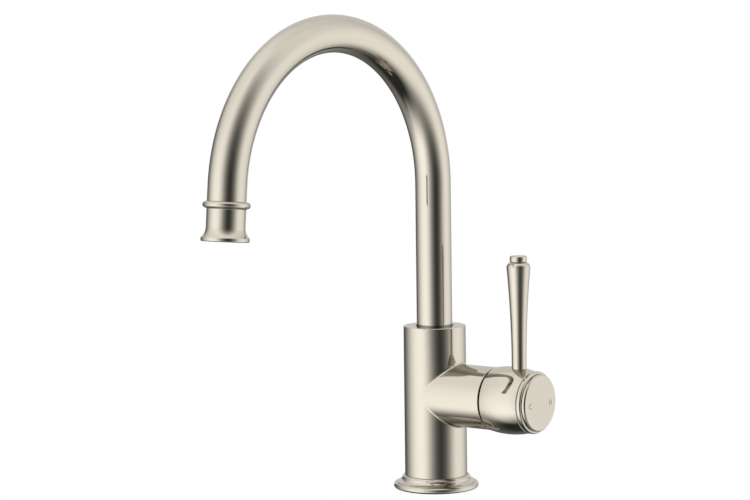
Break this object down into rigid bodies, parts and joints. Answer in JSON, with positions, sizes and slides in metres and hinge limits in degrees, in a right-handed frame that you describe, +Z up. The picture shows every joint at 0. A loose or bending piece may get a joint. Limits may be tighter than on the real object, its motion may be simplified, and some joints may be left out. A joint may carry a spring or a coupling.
{
  "type": "gooseneck basin mixer",
  "caption": "Deck-mounted gooseneck basin mixer: round column on a stepped base, swivelling tubular spout, side barrel with a drum handle and an upright pin lever.",
  "frame": {"origin": "centre of the base on the deck plane", "axes": "+Z up the column, +X along the handle barrel, -Y towards the user and along the spout"},
  "size_m": [0.1188, 0.2575, 0.3328],
  "materials": {
    "nickel_plate": "polished",
    "nickel_disc": "satin",
    "bare_brass": "satin",
    "steel": "satin",
    "black_rubber": "matte",
    "ceramic_disc": "polished",
    "grey_plastic": "satin",
    "white_plastic": "satin",
    "blue_plastic": "satin"
  },
  "bodies": {
    "column": {"base_flange": "nickel_plate", "base_gasket": "black_rubber", "inlet_block": "bare_brass", "mixer_body": "nickel_plate", "spout_glide_ring": "white_plastic", "spout_retaining_screw": "steel", "cartridge_base": "grey_plastic", "port_seals": "black_rubber", "cartridge_housing": "grey_plastic", "fixed_disc": "ceramic_disc", "temperature_stop_ring": "blue_plastic", "cartridge_nut": "bare_brass", "cartridge_cover": "nickel_plate"},
    "spout": {"spout_tube": "nickel_plate", "spout_spigot": "bare_brass", "spigot_seals": "black_rubber", "outlet_nozzle": "nickel_plate", "aerator_housing": "grey_plastic", "aerator_washer": "black_rubber", "aerator_screen": "steel", "aerator_insert": "white_plastic"},
    "guide": {"stem_guide": "white_plastic", "pivot_pin": "steel"},
    "disc": {"moving_disc": "ceramic_disc", "disc_carrier": "white_plastic"},
    "handle": {"stem": "steel", "handle_drum": "nickel_plate", "handle_screw": "steel", "end_cap": "nickel_plate", "end_cap_seal": "black_rubber", "index_disc": "nickel_disc", "lever_rod": "nickel_plate", "lever_tip": "nickel_plate", "lever_stud": "steel"}
  },
  "joints": [
    {"name": "spout_swivel", "type": "hinge", "parent": "column", "child": "spout", "pos_m": [0, 0, 0.0966], "axis": [0, 0, 1], "continuous": true},
    {"name": "temperature", "type": "hinge", "parent": "column", "child": "guide", "pos_m": [0.0314, 0, 0.06725], "axis": [1, 0, 0], "range_deg": [-50, 50]},
    {"name": "flow_tilt", "type": "hinge", "parent": "guide", "child": "handle", "pos_m": [0.0314, 0, 0.06725], "axis": [0, 1, 0], "range_deg": [0, 20]},
    {"name": "disc_slide", "type": "slide", "parent": "guide", "child": "disc", "axis": [0, 0, 1], "range_m": [0, 0.0032]}
  ],
  "couplings": [
    {"joint": "disc_slide", "follows": "flow_tilt", "m_per_rad": 0.009}
  ]
}
